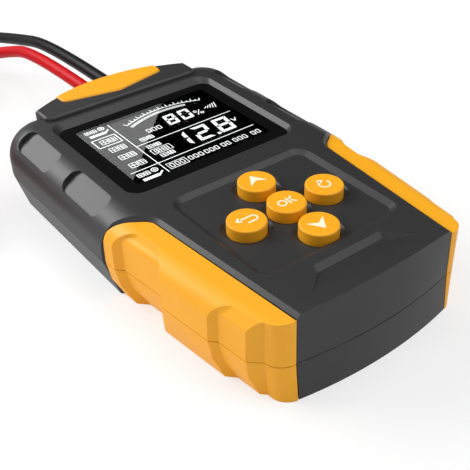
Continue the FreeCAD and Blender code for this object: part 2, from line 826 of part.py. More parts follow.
board = fuse([
    box(-board_head_half, board_head_half, board_head_y0, board_head_y1, board_z, board_top_z),
    box(-board_core_half, board_core_half, board_core_y0, board_head_y0, board_z, board_top_z),
])
nodes["main_board"] = board.cut([
    post(x, y, board_z, board_top_z, board_screw_d + 2 * screw_play) for x, y in board_bosses
])
nodes["board_screws"] = Part.makeCompound([
    fuse([
        post(x, y, board_top_z, board_top_z + board_screw_head_h, board_screw_head_d),
        post(x, y, board_top_z - board_screw_reach, board_top_z, board_screw_d),
    ])
    for x, y in board_bosses
])

switch_top_z = board_top_z + switch_h
plunger_z = switch_top_z - plunger_sunk
bore_z = plunger_z - key_travel - plunger_gap
stem_z = switch_top_z + plunger_h
half_switch = switch_side / 2
nodes["tact_switches"] = Part.makeCompound([
    box(x - half_switch, x + half_switch, y - half_switch, y + half_switch, board_top_z, switch_top_z)
    .cut(post(x, y, bore_z, switch_top_z, plunger_d + 2 * plunger_gap))
    for x, y in key_places.values()
])


def under_board(x, y, size):
    """A block that hangs from the underside of the board."""
    return box(x - size[0] / 2, x + size[0] / 2, y - size[1] / 2, y + size[1] / 2,
               board_z - size[2], board_z)


nodes["controller_chip"] = under_board(0, view_y + chip_shift, (chip_side, chip_side, chip_h))
nodes["load_resistors"] = Part.makeCompound([
    under_board(0, view_y + resistor_shift + i * resistor_pitch, resistor_size)
    for i in range(resistor_count)
])
nodes["capacitors"] = Part.makeCompound(both(
    post(capacitor_x, view_y + capacitor_shift, board_z - capacitor_h, board_z, capacitor_d)))
nodes["beeper"] = post(0, key_y + beeper_shift, board_z - beeper_h, board_z, beeper_d)
nodes["power_transistors"] = Part.makeCompound(both(
    under_board(transistor_x, view_y + transistor_shift, transistor_size)))
lead_foot_z = board_top_z + terminal_floor
nodes["lead_terminals"] = Part.makeCompound([
    post(x, lead_drop_y, board_top_z, board_top_z + terminal_h, terminal_d)
    .cut(post(x, lead_drop_y, lead_foot_z, far, lead_d + 2 * lead_gap))
    for x in lead_x
])


# Keys

flange_z = roof_z - key_gap - flange_t
for name, (x, y) in key_places.items():
    cap = post(x, y, flange_z, top_z + key_rise, key_d)
    rim = [e for e in cap.Edges if e.BoundBox.ZMin > top_z]
    cap = cap.makeFillet(key_edge_r, rim)
    nodes["key_" + name] = fuse([
        cap,
        post(x, y, flange_z, flange_z + flange_t, flange_d),
        post(x, y, stem_z, flange_z, stem_d),
    ])
    nodes["plunger_" + name] = post(x, y, plunger_z, stem_z, plunger_d)


# Tubes

def tube(edges, d):
    """Round tube along a smooth chain of lines and arcs."""
    spine = Part.Wire(edges)
    first = edges[0]
    start = first.valueAt(first.FirstParameter)
    heading = first.tangentAt(first.FirstParameter)
    shell = Part.BRepOffsetAPI.MakePipeShell(spine)
    shell.add(Part.Wire([Part.makeCircle(d / 2, start, heading)]))
    shell.build()
    shell.makeSolid()
    solid = shell.shape()
    share = solid.Volume / (math.pi * d ** 2 / 4 * spine.Length)
    print("  tube length", round(spine.Length, 1), "volume share", round(share, 4))
    return solid


def arc_from(corner, start, end):
    """Arc that leaves start and reaches end, both at one distance from the corner of its tangents."""
    before = (start - corner).normalize()
    after = (end - corner).normalize()
    reach = (start - corner).Length
    half = before.getAngle(after) / 2
    middle = corner + (before + after).normalize() * (reach / math.cos(half) - reach * math.tan(half))
    return Part.Arc(start, middle, end).toShape()


def corner_share(a, corner, b):
    """How much of the shorter of two runs is spent on the bend between them."""
    return bend_share * min((corner - a).Length, (b - corner).Length)


def lead_route(points):
    """Straight runs joined by tangent arcs."""
    edges = []
    radii = []
    last = points[0]
    for a, corner, b in zip(points, points[1:], points[2:]):
        reach = corner_share(a, corner, b)
        start = corner + (a - corner).normalize() * reach
        end = corner + (b - corner).normalize() * reach
        turn = (corner - a).getAngle(b - corner)
        radii.append(round(reach / math.tan(turn / 2)))
        edges.append(Part.makeLine(last, start))
        edges.append(arc_from(corner, start, end))
        last = end
    edges.append(Part.makeLine(last, points[-1]))
    print("  bend radii", radii)
    return edges


def biarc(a, heading_a, b, heading_b):
    """Two tangent arcs from a to b."""
    gap = b - a
    both_ways = heading_a + heading_b
    square = 2 * (heading_a.dot(heading_b) - 1)
    linear = -2 * gap.dot(both_ways)
    reach = (-linear - math.sqrt(linear ** 2 - 4 * square * gap.dot(gap))) / (2 * square)
    first = a + heading_a * reach
    second = b - heading_b * reach
    joint = (first + second) / 2
    return [arc_from(first, a, joint), arc_from(second, joint, b)]


def wound(place, turns, first_heading, last_heading):
    """Chain of biarcs through the quarter turns of a winding."""
    count = round(turns * 4)
    step = turns / count
    spots = [place(i * step) for i in range(count + 1)]
    headings = [(place(i * step + heading_step) - place(i * step - heading_step)).normalize()
                for i in range(count + 1)]
    headings[0] = first_heading
    headings[-1] = last_heading
    edges = []
    for i in range(count):
        edges += biarc(spots[i], headings[i], spots[i + 1], headings[i + 1])
    return edges


def least_gap(edges, d):
    """Smallest room between two stretches of one winding, measured on points."""
    points = []
    for edge in edges:
        points += edge.discretize(Number=gap_points + 1)[:-1]
    neighbours = 4 * d
    least = far
    for i, p in enumerate(points):
        walked = 0
        for q, r in zip(points[i:], points[i + 1:]):
            walked += (r - q).Length
            if walked > neighbours:
                least = min(least, (r - p).Length)
    return least - d


# Leads: the inner ends, the free stretches, and the coils with their ties

coil_low_z = floor_gap + tie_t + tie_gap + lead_d / 2
coil_high_z = coil_low_z + coil_step
clamp_width = 2 * coil_high_z
coil_turns = coil_turns_in + coil_turns_climb + coil_turns_out


def coil_place(centre, outer_r):
    """Place along a coil that spirals in, climbs to its second layer and spirals out."""
    def place(turn):
        angle = math.pi / 2 + 2 * math.pi * turn
        inward = min(turn, coil_turns_in)
        outward = max(turn - coil_turns_in - coil_turns_climb, 0)
        climb = min(max((turn - coil_turns_in) / coil_turns_climb, 0), 1)
        dip = coil_turns_climb * climb * (1 - climb)
        r = outer_r - coil_step * (inward + dip - outward)
        z = coil_low_z + coil_step * (1 - math.cos(math.pi * climb)) / 2
        return V(centre[0] + r * math.cos(angle), centre[1] + r * math.sin(angle), z)
    return place


def tie_band(place, centre):
    """Band round the strands of a coil at the tie's place."""
    strands = [place(tie_turn + i) for i in range(math.floor(coil_turns - tie_turn) + 1)]
    spans = [math.hypot(p.x - centre[0], p.y - centre[1]) for p in strands]
    room = lead_d / 2 + tie_gap
    inner = (min(spans) - room, max(spans) + room, coil_low_z - room, coil_high_z + room)
    bands = []
    for grow, r in ((tie_t, tie_corner_r + tie_t), (0, tie_corner_r)):
        x0, x1, z0, z1 = inner[0] - grow, inner[1] + grow, inner[2] - grow, inner[3] + grow
        outline = rounded([V(x0, -tie_w / 2, z0), V(x1, -tie_w / 2, z0), V(x1, -tie_w / 2, z1),
                           V(x0, -tie_w / 2, z1)], [r, r, r, r])
        bands.append(prism(outline, V(0, tie_w, 0)))
    band = bands[0].cut(bands[1])
    band.rotate(V(0, 0, 0), V(0, 0, 1), 90 + 360 * tie_turn)
    band.translate(V(centre[0], centre[1], 0))
    return band


leads = {
    "red": {
        "x": lead_x[0],
        "coil": (-55.0, 160.0),
        "coil_r": 32.0,
        "route": [(-4.5, 126, 25), (-7, 152, 17), (-14, 176, 7.4), (-30, 192, 3.7)],
        "tail": 43.0,
        "side": 1,
    },
    "black": {
        "x": lead_x[1],
        "coil": (-67.0, 228.0),
        "coil_r": 29.5,
        "route": [(4.5, 128, 25), (3, 162, 17), (-3.5, 196, 9), (-16, 228, 5), (-38, 257.5, 3.7)],
        "tail": 31.0,
        "side": -1,
    },
}
for colour, lead in leads.items():
    x = lead["x"]
    down = V(x, lead_drop_y, lead_z - lead_bend_r)
    along = V(x, lead_drop_y + lead_bend_r, lead_z)
    print(colour, "leads")
    nodes[colour + "_inner_lead"] = tube([
        Part.makeLine(V(x, lead_drop_y, lead_foot_z), down),
        arc_from(V(x, lead_drop_y, lead_z), down, along),
        Part.makeLine(along, V(x, lead_split_y, lead_z)),
    ], lead_d)

    centre = lead["coil"]
    place = coil_place(centre, lead["coil_r"])
    join = place(0) + V(lead_d, 0, 0)
    route = [V(x, lead_split_y, lead_z)] + [V(*point) for point in lead["route"]] + [join]
    nodes[colour + "_lead"] = tube(lead_route(route), lead_d)

    turns = wound(place, coil_turns, V(-1, 0, 0), V(0, -1, 0))
    end = place(coil_turns)
    lead["end"] = end - V(0, lead["tail"], 0)
    winding = [Part.makeLine(join, place(0))] + turns + [Part.makeLine(end, lead["end"])]
    nodes[colour + "_lead_coil"] = tube(winding, lead_d)
    print("  least gap in the coil", round(least_gap(winding, lead_d), 2))
    nodes[colour + "_coil_tie"] = tie_band(place, centre)


# Clamps. u runs from the handles to the jaws, v from the fixed arm to the moving one, w upwards.

def at(u, v, w):
    return V(v, -u, w)


mid_v = clamp_spread / 2
waist_v = mid_v - ear_r - ear_room - arm_t / 2
tooth_base_v = mid_v - contact_gap / 2 - tooth_h
tip_v = tooth_base_v - contact_t - arm_t / 2
waist_half = ear_r + arm_t
ear_levels = {
    "fixed": [ear_edge, clamp_width - ear_edge - ear_t],
    "moving": [ear_edge + ear_t + ear_gap, clamp_width - ear_edge - 2 * ear_t - ear_gap],
}
arm_line = [
    (0, 0),
    (handle_flat, 0),
    (pivot_u - waist_half, waist_v),
    (pivot_u + waist_half, waist_v),
    (belly_u, belly_v),
    (clamp_length, tip_v),
]
spring_height = ear_levels["moving"][1] - ear_levels["moving"][0] - ear_t - 2 * spring_room
spring_pitch = (spring_height - spring_wire) / spring_turns
taper_w = (clamp_width - jaw_tip_w) / 2
arm_side = prism(polygon([
    at(0, -far, 0),
    at(pivot_u + waist_half, -far, 0),
    at(clamp_length, -far, taper_w),
    at(clamp_length, -far, clamp_width - taper_w),
    at(pivot_u + waist_half, -far, clamp_width),
    at(0, -far, clamp_width),
]), V(2 * far, 0, 0))


def arm_inner_v(u):
    """Inner face of an arm's jaw."""
    share = (u - belly_u) / (clamp_length - belly_u)
    if u < belly_u:
        share = (belly_u - u) / (belly_u - pivot_u - waist_half)
        return belly_v + share * (waist_v - belly_v) + arm_t / 2
    return belly_v + share * (tip_v - belly_v) + arm_t / 2


def arm(levels):
    outer = [at(u, v - arm_t / 2, 0) for u, v in arm_line]
    inner = [at(u, v + arm_t / 2, 0) for u, v in arm_line]
    plate = prism(polygon(outer + inner[::-1]), V(0, 0, clamp_width)).common(arm_side)
    pivot = at(pivot_u, mid_v, 0)
    ears = []
    for w in levels:
        ears.append(box(waist_v, mid_v, pivot.y - ear_r, pivot.y + ear_r, w, w + ear_t))
        ears.append(post(pivot.x, pivot.y, w, w + ear_t, 2 * ear_r))
    return fuse([plate] + ears).cut(post(pivot.x, pivot.y, 0, clamp_width, pivot_d + 2 * pivot_play))


def contact():
    """Metal strip inside a jaw, with teeth towards the other jaw."""
    w0 = (clamp_width - contact_w) / 2
    points = [at(contact_back_u, arm_inner_v(contact_back_u), w0),
              at(belly_u, arm_inner_v(belly_u), w0),
              at(clamp_length, arm_inner_v(clamp_length), w0)]
    for i in range(tooth_count):
        u = clamp_length - i * tooth_pitch
        points.append(at(u - tooth_pitch / 2, tooth_base_v + tooth_h, w0))
        points.append(at(u - tooth_pitch, tooth_base_v, w0))
    points.insert(3, at(clamp_length, tooth_base_v, w0))
    points.append(at(contact_back_u, arm_inner_v(contact_back_u) + contact_t, w0))
    return prism(polygon(points), V(0, 0, contact_w))


def across(shape):
    """The moving arm's copy of a piece of the fixed arm."""
    return shape.mirror(V(mid_v, 0, 0), V(1, 0, 0))


def pivot_pin():
    pivot = at(pivot_u, mid_v, 0)
    low = ear_edge
    high = clamp_width - ear_edge
    return fuse([
        post(pivot.x, pivot.y, low, high, pivot_d),
        post(pivot.x, pivot.y, low - pivot_head_t, low, pivot_head_d),
        post(pivot.x, pivot.y, high, high + pivot_head_t, pivot_head_d),
    ])


def torsion_spring():
    """Spring round the pin, with a leg along each handle."""
    pivot = at(pivot_u, mid_v, clamp_width / 2)
    r = pivot_d / 2 + spring_gap + spring_wire / 2

    def place(turn):
        angle = math.pi + 2 * math.pi * turn
        z = pivot.z + spring_pitch * (turn - spring_turns / 2)
        return V(pivot.x + r * math.cos(angle), pivot.y + r * math.sin(angle), z)

    turns = wound(place, spring_turns, V(0, -1, 0), V(0, 1, 0))
    leg = V(0, spring_leg, 0)
    start = place(0)
    end = place(spring_turns)
    edges = [Part.makeLine(start + leg, start)] + turns + [Part.makeLine(end, end + leg)]
    print("  least gap in the spring", round(least_gap(edges, spring_wire), 2))
    return tube(edges, spring_wire)


lead_v = arm_t / 2 + crimp_wall + crimp_gap + lead_d / 2


def crimp():
    """Sleeve round the lead, standing on the fixed arm's handle."""
    reach = lead_d / 2 + crimp_gap + crimp_wall
    mid_w = clamp_width / 2
    block = box(arm_t / 2, lead_v + reach, -crimp_u - crimp_length, -crimp_u, mid_w - reach, mid_w + reach)
    hole = Part.makeCylinder(lead_d / 2 + crimp_gap, 2 * far, V(lead_v, -far, mid_w), V(0, 1, 0))
    return block.cut(hole)


clamp_pieces = {
    "fixed_arm": arm(ear_levels["fixed"]),
    "moving_arm": across(arm(ear_levels["moving"])),
    "pivot_pin": pivot_pin(),
    "spring": torsion_spring(),
    "fixed_contact": contact(),
    "moving_contact": across(contact()),
    "crimp": crimp(),
}
for colour, lead in leads.items():
    for piece, shape in clamp_pieces.items():
        placed = shape.copy() if lead["side"] > 0 else mirrored(shape)
        placed.translate(V(lead["end"].x - lead["side"] * lead_v, lead["end"].y + crimp_u + crimp_length, 0))
        nodes[colour + "_clamp_" + piece] = placed


os.makedirs("parts", exist_ok=True)
for name, shape in nodes.items():
    solids = shape.Solids
    print(name, len(solids), "solids", [round(s.Volume) for s in solids][:6], shape.isValid())
    shape.exportStep("parts/" + name + ".step")
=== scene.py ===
import math

import bpy
from mathutils import Euler, Matrix, Vector


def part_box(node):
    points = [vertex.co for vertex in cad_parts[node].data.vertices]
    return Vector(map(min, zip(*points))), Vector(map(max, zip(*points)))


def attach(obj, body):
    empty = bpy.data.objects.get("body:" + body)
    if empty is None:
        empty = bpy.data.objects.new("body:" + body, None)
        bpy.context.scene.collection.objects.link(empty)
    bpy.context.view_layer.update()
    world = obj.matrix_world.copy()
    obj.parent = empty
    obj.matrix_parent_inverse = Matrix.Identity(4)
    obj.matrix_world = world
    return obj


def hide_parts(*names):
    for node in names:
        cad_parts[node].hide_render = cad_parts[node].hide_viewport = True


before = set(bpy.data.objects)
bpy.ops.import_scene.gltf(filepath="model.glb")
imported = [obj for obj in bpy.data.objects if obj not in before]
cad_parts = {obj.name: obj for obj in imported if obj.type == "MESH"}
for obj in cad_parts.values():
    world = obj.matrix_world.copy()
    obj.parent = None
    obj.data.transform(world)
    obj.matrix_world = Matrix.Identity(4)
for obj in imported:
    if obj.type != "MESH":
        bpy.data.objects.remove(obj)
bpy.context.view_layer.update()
mm = 0.001


# Lower half of the case. Charcoal ABS, injection moulded in a spark-eroded tool that leaves a fine
# matte grain. The mould rounds its outer edges a little, and posts inside it carry the circuit board.

def srgb(hex_colour):
    """Linear colour of an sRGB hex value."""
    channels = [int(hex_colour[i:i + 2], 16) / 255 for i in (1, 3, 5)]
    linear = [c / 12.92 if c <= 0.04045 else ((c + 0.055) / 1.055) ** 2.4 for c in channels]
    return linear + [1.0]


def add_node(tree, kind, inputs, **settings):
    """Adds a shader node with its settings. An input is a value, or the socket that feeds it."""
    node = tree.nodes.new("ShaderNode" + kind)
    for name, value in settings.items():
        setattr(node, name, value)
    for socket, value in inputs.items():
        if isinstance(value, bpy.types.NodeSocket):
            tree.links.new(value, node.inputs[socket])
        else:
            node.inputs[socket].default_value = value
    return node


def new_material(name):
    material = bpy.data.materials.new(name)
    material.use_nodes = True
    material.node_tree.nodes.clear()
    return material


def grained(name, colour, shade, roughness, grain, relief, gloss=0.5):
    """Finish of plastic, rubber, ink and the like: two close shades in soft clouds, under a fine grain."""
    cloud = 20 * mm
    unevenness = 0.05
    material = new_material(name)
    tree = material.node_tree
    place = add_node(tree, "TexCoord", {}).outputs["Object"]
    clouds = add_node(tree, "TexNoise", {"Vector": place, "Scale": 1 / cloud, "Detail": 3.0})
    tint = add_node(tree, "Mix", {0: clouds.outputs[0], 6: srgb(colour), 7: srgb(shade)}, data_type="RGBA")
    fine = add_node(tree, "TexNoise", {"Vector": place, "Scale": 1 / grain, "Detail": 2.0})
    rough = add_node(tree, "MapRange", {
        0: fine.outputs[0], 3: roughness - unevenness, 4: roughness + unevenness})
    bump = add_node(tree, "Bump", {"Height": fine.outputs[0], "Distance": relief, "Strength": 0.6})
    surface = add_node(tree, "BsdfPrincipled", {
        "Base Color": tint.outputs[2], "Roughness": rough.outputs[0],
        "Specular IOR Level": gloss, "Normal": bump.outputs[0]})
    add_node(tree, "OutputMaterial", {"Surface": surface.outputs[0]})
    return material


def pick(piece):
    """Makes one object the only selected and active one."""
    bpy.ops.object.select_all(action="DESELECT")
    piece.select_set(True)
    bpy.context.view_layer.objects.active = piece


def merged_copy(node):
    """Copy of a solid whose triangles are merged into faces."""
    weld_distance = 0.002 * mm
    flat_deg = 0.5
    piece = bpy.data.objects.new(node + "_skin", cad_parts[node].data.copy())
    bpy.context.scene.collection.objects.link(piece)
    pick(piece)
    bpy.ops.mesh.customdata_custom_splitnormals_clear()
    bpy.ops.object.mode_set(mode="EDIT")
    bpy.ops.mesh.select_all(action="SELECT")
    bpy.ops.mesh.remove_doubles(threshold=weld_distance)
    bpy.ops.mesh.dissolve_limited(angle_limit=math.radians(flat_deg))
    bpy.ops.object.mode_set(mode="OBJECT")
    return piece


def round_edges(piece, width, segments=2):
    """Rounds the sharp edges of a piece and shades it smoothly."""
    sharp_deg = 24
    smooth_deg = 40
    pick(piece)
    bpy.ops.object.modifier_add(type="BEVEL")
    bevel = piece.modifiers[-1]
    bevel.width = width
    bevel.segments = segments
    bevel.limit_method = "ANGLE"
    bevel.angle_limit = math.radians(sharp_deg)
    bpy.ops.object.modifier_apply(modifier=bevel.name)
    bpy.ops.object.shade_smooth_by_angle(angle=math.radians(smooth_deg))
    bpy.ops.object.modifier_add(type="WEIGHTED_NORMAL")
    piece.modifiers[-1].keep_sharp = True
    bpy.ops.object.modifier_apply(modifier=piece.modifiers[-1].name)


def fit(piece, material, body, slot, *replaced):
    """Gives a piece its material, its place in the mechanism and the solids that it stands for."""
    piece.data.materials.clear()
    piece.data.materials.append(material)
    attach(piece, body)
    if replaced:
        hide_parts(*replaced)


# The eroded grain spreads each highlight into a soft grey sheen, and leaves the rest nearly black.
# The real grain is about 0.15 mm, too fine to show, so it is drawn three times as coarse.
charcoal = grained("charcoal_ABS_spark_eroded", "#2b2b2c", "#272728",
                   roughness=0.42, grain=0.45 * mm, relief=0.02 * mm, gloss=0.35)
lower_edge = 0.35 * mm
lower_shell = merged_copy("lower_shell")
round_edges(lower_shell, lower_edge)
fit(lower_shell, charcoal, "tester", "dark_plastic", "lower_shell")


# Circuit board inside the case: FR-4 laminate under green solder resist, screwed to the posts. It carries
# the controller, load resistors, capacitors, transistors, beeper, key switches and lead terminals.

def paint(material, *names):
    """Gives solids that keep their own mesh a finish."""
    for name in names:
        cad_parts[name].material_slots[0].material = material


def metal(name, colour, shade, roughness, scratch):
    """Bare metal with a drawn or tumbled surface: fine streaks that shift its gloss."""
    smoother = 0.08
    rougher = 0.1
    material = new_material(name)
    tree = material.node_tree
    place = add_node(tree, "TexCoord", {}).outputs["Object"]
    streaks = add_node(tree, "TexNoise", {"Vector": place, "Scale": 1 / scratch, "Detail": 4.0})
    tint = add_node(tree, "Mix", {0: streaks.outputs[0], 6: srgb(colour), 7: srgb(shade)}, data_type="RGBA")
    rough = add_node(tree, "MapRange", {
        0: streaks.outputs[0], 3: roughness - smoother, 4: roughness + rougher})
    surface = add_node(tree, "BsdfPrincipled", {
        "Base Color": tint.outputs[2], "Roughness": rough.outputs[0], "Metallic": 1.0})
    add_node(tree, "OutputMaterial", {"Surface": surface.outputs[0]})
    return material


# barrel plating gives a cool, slightly clouded shine
zinc_steel = metal("steel_barrel_plated_zinc", "#b9bcc0", "#9da1a6", roughness=0.34, scratch=0.6 * mm)
# stamped and plated: a warm sheen with fine streaks
copper_plate = metal("steel_stamped_copper_plated", "#c98a58", "#b27444", roughness=0.36, scratch=0.8 * mm)
# deep drawing leaves a satin face with longer streaks
can_aluminium = metal("aluminium_deep_drawn", "#b5b8bd", "#a3a7ad", roughness=0.4, scratch=1.5 * mm)
# screened lacquer: an even green with a wet shine
solder_resist = grained("FR4_screened_solder_resist", "#1d6a3a", "#185a31",
                        roughness=0.36, grain=0.8 * mm, relief=0.01 * mm)
# moulded epoxy is a dull black that holds no clear highlight
black_epoxy = grained("black_epoxy_moulded", "#1b1b1d", "#151516",
                      roughness=0.55, grain=0.3 * mm, relief=0.01 * mm)
# cast cement is chalky and has no shine
white_cement = grained("white_cement_cast", "#dcd7c9", "#cec8b8",
                       roughness=0.8, grain=0.5 * mm, relief=0.04 * mm)
paint(solder_resist, "main_board")
paint(zinc_steel, "board_screws")
paint(black_epoxy, "controller_chip", "power_transistors", "beeper", "tact_switches")
paint(white_cement, "load_resistors")
paint(can_aluminium, "capacitors")
paint(copper_plate, "lead_terminals")


# Display: a white holder and a frosted backlight plate carry a negative LCD, dark glass on which the lit
# marks glow white, and a rubber strip joins its contacts to the board.

# moulded white plastic throws the light of the backlight back evenly
white_abs = grained("white_ABS_moulded", "#e4e4df", "#dadad4",
                    roughness=0.5, grain=0.4 * mm, relief=0.02 * mm)
# the frosted face makes the plate milky, so that no lamp shows through it
frosted_acrylic = grained("acrylic_frosted", "#eef2f5", "#e2e7ec",
                          roughness=0.6, grain=0.3 * mm, relief=0.01 * mm)
# layered silicone is a dull grey
strip_rubber = grained("silicone_layered", "#8f8f88", "#6d6d68",
                       roughness=0.7, grain=0.4 * mm, relief=0.02 * mm)
# the polariser film swallows almost all light, so the field behind the marks is a deep black
lcd_glass = grained("glass_with_polariser_film", "#030303", "#020202",
                    roughness=0.6, grain=0.5 * mm, relief=0.001 * mm, gloss=0.0)
paint(white_abs, "lcd_holder")
paint(frosted_acrylic, "backlight")
paint(strip_rubber, "lcd_strip")
paint(lcd_glass, "lcd_panel")


def flat_bar(start, end, width, height):
    """Flat bar between two places of the plan. Its places and width are in millimetres."""
    a = Vector(start) * mm
    b = Vector(end) * mm
    run = b - a
    middle = (a + b) / 2
    bpy.ops.mesh.primitive_plane_add(size=1, location=(middle.x, middle.y, height),
                                     rotation=(0, 0, math.atan2(run.y, run.x)))
    bar = bpy.context.object
    bar.scale = (run.length, width * mm, 1)
    bpy.ops.object.transform_apply()
    return bar


def centred(piece):
    """Puts the origin of a piece at the origin of the scene."""
    pick(piece)
    bpy.context.scene.cursor.location = (0, 0, 0)
    bpy.ops.object.origin_set(type="ORIGIN_CURSOR")


def thickened(piece, thickness, offset):
    """Gives a sheet a thickness. offset is 1 for outwards and -1 for inwards."""
    pick(piece)
    bpy.ops.object.modifier_add(type="SOLIDIFY")
    piece.modifiers[-1].thickness = thickness
    piece.modifiers[-1].offset = offset
    bpy.ops.object.modifier_apply(modifier=piece.modifiers[-1].name)


def joined(pieces, name, thickness):
    """Joins flat pieces and gives them a thickness upwards."""
    bpy.ops.object.select_all(action="DESELECT")
    for piece in pieces:
        piece.select_set(True)
    bpy.context.view_layer.objects.active = pieces[0]
    bpy.ops.object.join()
    whole = bpy.context.object
    whole.name = name
    centred(whole)
    thickened(whole, thickness, 1)
    return whole


def ring(centre, radius, width, height, count, start=0.0, sweep=360.0):
    """Ring or arc of short bars. Angles are in degrees from +Y, clockwise."""
    places = []
    for i in range(count + 1):
        angle = math.radians(start + sweep * i / count)
        places.append((centre[0] + radius * math.sin(angle), centre[1] + radius * math.cos(angle)))
    return [flat_bar(a, b, width, height) for a, b in zip(places, places[1:])]


def frame_of(x0, y0, x1, y1, width, height):
    """Rectangle of four bars."""
    corners = [(x0, y0), (x1, y0), (x1, y1), (x0, y1)]
    return [flat_bar(a, b, width, height) for a, b in zip(corners, corners[1:] + corners[:1])]


lcd_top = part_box("lcd_panel")[1].z
lit_gap = 0.01 * mm
lit_thickness = 0.03 * mm
lit_z = lcd_top + lit_gap

# rules that part the fields; their sizes and places, and those of all marks below, are in millimetres
rule_width = 0.35
field_rules = [((-14.1, 7.6), (-14.1, 48.2)), ((-14.1, 28.8), (26.0, 29.3)), ((-24.6, 15.2), (26.3, 16.0))]
lit = [flat_bar(start, end, rule_width, lit_z) for start, end in field_rules]

# charge scale: an arc with long and short ticks, and under it a comb that is filled to four fifths
scale_centre = Vector((6.8, 9.75))
scale_radius = 37.0
scale_half_deg = 25.0
scale_width = 0.4
scale_bars = 30
tick_count = 21
tick_lengths = (1.7, 0.9)
tick_width = 0.35
comb_count = 48
comb_drop = 2.6
comb_length = 1.4
comb_width = 0.28
comb_filled = 0.8


def spokes(count, sweep_deg, foot_radius, lengths, width):
    """Bars that stand on an arc of the scale from its left end. Their lengths take turns."""
    bars = []
    for i in range(count):
        angle = math.radians(-scale_half_deg + sweep_deg * i / (count - 1))
        outward = Vector((math.sin(angle), math.cos(angle)))
        foot = scale_centre + outward * foot_radius
        bars.append(flat_bar(foot, foot + outward * lengths[i % len(lengths)], width, lit_z))
    return bars


scale_deg = 2 * scale_half_deg
lit += ring(scale_centre, scale_radius, scale_width, lit_z, scale_bars, -scale_half_deg, scale_deg)
lit += spokes(tick_count, scale_deg, scale_radius, tick_lengths, tick_width)
lit += spokes(comb_count, comb_filled * scale_deg, scale_radius - comb_drop, [comb_length], comb_width)


def plate(points, height):
    """Flat plate with the given corners of the plan, in millimetres."""
    bpy.ops.mesh.primitive_circle_add(vertices=len(points), radius=mm, fill_type="NGON")
    shape = bpy.context.object
    for vertex, (x, y) in zip(shape.data.vertices, points):
        vertex.co = (x * mm, y * mm, height)
    return shape


# seven-segment numbers that lean to the right, with mitred segments
digit_segments = {"0": "abcdef", "1": "bc", "2": "abged", "8": "abcdefg"}
lean = 0.14
segment_gap = 0.14
charge_digits = [("8", 3.9), ("0", 10.0)]
charge_y = 34.6
charge_cell = (3.3, 6.0)
charge_stroke = 1.15
volt_digits = [("1", -2.6), ("2", 6.3), ("8", 15.4)]
volt_y = 18.9
volt_cell = (4.8, 8.0)
volt_stroke = 1.4
point_start = (12.9, 18.7)
point_end = (14.1, 18.7)
point_width = 1.3


def digit(figure, x, y, cell, stroke):
    """Segments of one figure. x and y are the lower left corner of its cell."""
    width, height = cell
    half = stroke / 2
    mid = height / 2
    inset = half + segment_gap
    lying = [(segment_gap - half, height + half), (width + half - segment_gap, height + half),
             (width - inset, height - half), (inset, height - half)]
    upright = [(width + half, height + half - segment_gap), (width + half, mid + segment_gap),
               (width - half, mid + inset), (width - half, height - inset)]
    middle = [(segment_gap, mid), (inset, mid + half), (width - inset, mid + half),
              (width - segment_gap, mid), (width - inset, mid - half), (inset, mid - half)]
    shapes = {
        "a": lying,
        "b": upright,
        "c": [(u, height - v) for u, v in upright],
        "d": [(u, height - v) for u, v in lying],
        "e": [(width - u, height - v) for u, v in upright],
        "f": [(width - u, v) for u, v in upright],
        "g": middle,
    }
    plates = []
    for segment in digit_segments[figure]:
        plates.append(plate([(x + u + lean * v, y + v) for u, v in shapes[segment]], lit_z))
    return plates


for figure, x in charge_digits:
    lit += digit(figure, x, charge_y, charge_cell, charge_stroke)
for figure, x in volt_digits:
    lit += digit(figure, x, volt_y, volt_cell, volt_stroke)
lit.append(flat_bar(point_start, point_end, point_width, lit_z))

# per cent sign, volt sign and a charge symbol of five rising strokes
sign_width = 0.4
cent_slash = [(15.6, 34.2), (17.9, 37.4)]
cent_centres = [(15.8, 36.8), (17.7, 34.8)]
cent_radius = 0.6
cent_width = 0.32
cent_bars = 8
volt_sign = [(22.5, 24.4), (23.2, 22.4), (24.4, 24.4)]
stroke_count = 5
stroke_width = 0.35
stroke_start = (20.0, 36.6)
stroke_end = (21.4, 37.6)
stroke_step = 1.0
stroke_fall = 0.4          # each stroke starts this much lower than the one before it
stroke_rise = 0.25         # and ends this much higher
lit.append(flat_bar(*cent_slash, sign_width, lit_z))
for cent in cent_centres:
    lit += ring(cent, cent_radius, cent_width, lit_z, cent_bars)
for start, end in zip(volt_sign, volt_sign[1:]):
    lit.append(flat_bar(start, end, sign_width, lit_z))
for i in range(stroke_count):
    start = (stroke_start[0] + stroke_step * i, stroke_start[1] - stroke_fall * i)
    end = (stroke_end[0] + stroke_step * i, stroke_end[1] + stroke_rise * i)
    lit.append(flat_bar(start, end, stroke_width, lit_z))

# blocks of fine strokes that stand in for words
word_width = 0.26


def mark(x, y, width, height, strokes):
    """Block in place of one sign of a word, with a number of lying strokes."""
    bars = frame_of(x, y, x + width, y + height, word_width, lit_z)
    for i in range(1, strokes + 1):
        level = y + height * i / (strokes + 1)
        bars.append(flat_bar((x, level), (x + width, level), word_width, lit_z))
    bars.append(flat_bar((x + width / 2, y), (x + width / 2, y + height), word_width, lit_z))
    return bars


# left column: a marked choice and three more under it
choice_x = (-22.3, -19.1)
choice_y = (36.9, 30.6, 24.4, 18.0)
choice_size = (2.6, 2.8)
choice_frame = (-24.4, 35.4, -15.5, 41.2)
choice_frame_width = 0.45
lit += frame_of(*choice_frame, choice_frame_width, lit_z)
for y in choice_y:
    for strokes, x in enumerate(choice_x, 1):
        lit += mark(x, y, *choice_size, strokes)

